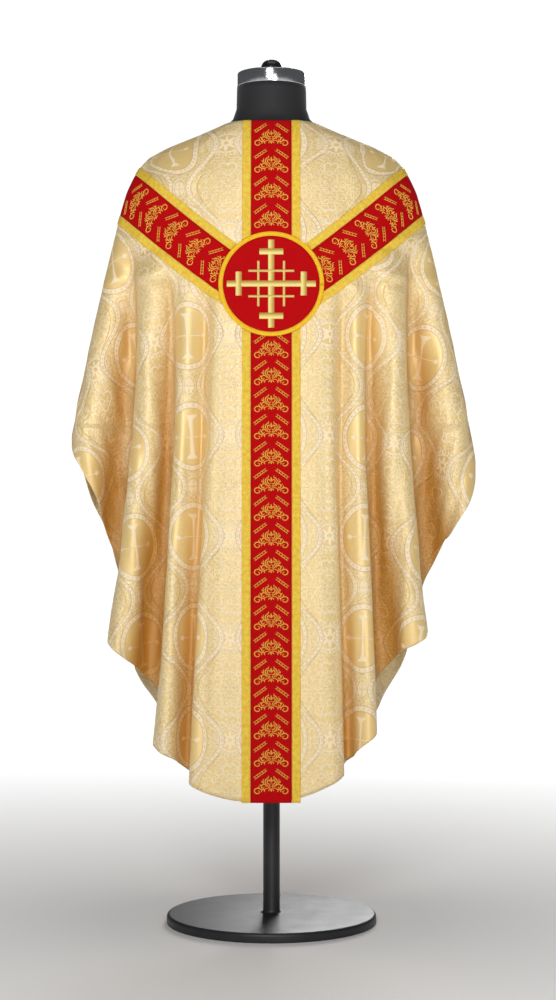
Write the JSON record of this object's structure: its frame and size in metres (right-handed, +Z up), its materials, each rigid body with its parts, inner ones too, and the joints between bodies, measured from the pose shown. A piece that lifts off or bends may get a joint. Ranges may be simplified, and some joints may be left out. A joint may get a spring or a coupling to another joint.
{
  "type": "gothic chasuble on dress form",
  "caption": "Gothic chasuble of gold brocade in deep folds, with red orphrey bands, gold braid and a cross roundel, draped on a limbless dress form with a round base",
  "frame": {"origin": "on the floor, at the middle of the underside of the stand's round base, below the pole's axis", "axes": "+Z up along the pole; the back of the garment faces -Y and its front +Y; +X is to the right when the back is seen"},
  "size_m": [0.7695, 0.404, 1.647],
  "materials": {
    "brocade": "gold silk brocade with a satin sheen",
    "orphrey_red": "matt red wool cloth with gold embroidery",
    "galloon_braid": "woven gold metallic braid",
    "border_braid": "glossy golden yellow satin cord braid",
    "cross_embroidery": "padded metallic gold thread",
    "form_cover": "black jersey cover",
    "cap_metal": "polished chrome",
    "knob": "gloss black",
    "stand_paint": "satin black powder coat"
  },
  "bodies": {
    "root": {"panel_back": "brocade", "panel_front": "brocade", "orphrey_back_upper": "orphrey_red", "braid_back_upper_left": "galloon_braid", "braid_back_upper_right": "galloon_braid", "orphrey_back_lower": "orphrey_red", "braid_back_lower_left": "galloon_braid", "braid_back_lower_right": "galloon_braid", "orphrey_back_left": "orphrey_red", "braid_back_left_low": "galloon_braid", "braid_back_left_high": "galloon_braid", "orphrey_back_right": "orphrey_red", "braid_back_right_low": "galloon_braid", "braid_back_right_high": "galloon_braid", "orphrey_front": "orphrey_red", "braid_front_left": "galloon_braid", "braid_front_right": "galloon_braid", "orphrey_front_left": "orphrey_red", "braid_front_left_low": "galloon_braid", "braid_front_left_high": "galloon_braid", "orphrey_front_right": "orphrey_red", "braid_front_right_low": "galloon_braid", "braid_front_right_high": "galloon_braid", "roundel_field": "orphrey_red", "roundel_border": "border_braid", "roundel_cross": "cross_embroidery", "form_torso": "form_cover", "neck_cap": "cap_metal", "cap_knob": "knob", "stand": "stand_paint"}
  },
  "joints": []
}
